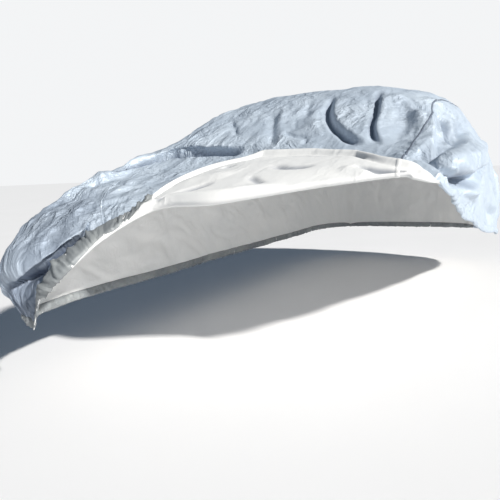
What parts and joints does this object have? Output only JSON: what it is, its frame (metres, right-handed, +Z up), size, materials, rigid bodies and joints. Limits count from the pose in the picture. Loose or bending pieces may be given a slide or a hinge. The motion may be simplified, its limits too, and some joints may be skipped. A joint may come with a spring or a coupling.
{
  "type": "fitted car cover, front turned back",
  "caption": "Fitted outdoor car cover of silver coated cloth, shown in place with its nose turned back over the slope, inner face up, and the near side hem raised.",
  "frame": {"origin": "the seat under the middle of the roof, on the cloth's inner face", "axes": "+Z up, -Y towards the nose, +X the near side whose hem hangs high"},
  "size_m": [1.9764, 4.1377, 1.1661],
  "materials": {
    "silver_cloth": "coated taffeta, silver face, white inner face, satin sheen"
  },
  "bodies": {
    "root": {"near_panel": "silver_cloth", "centre_panel": "silver_cloth", "far_panel": "silver_cloth"}
  },
  "joints": []
}
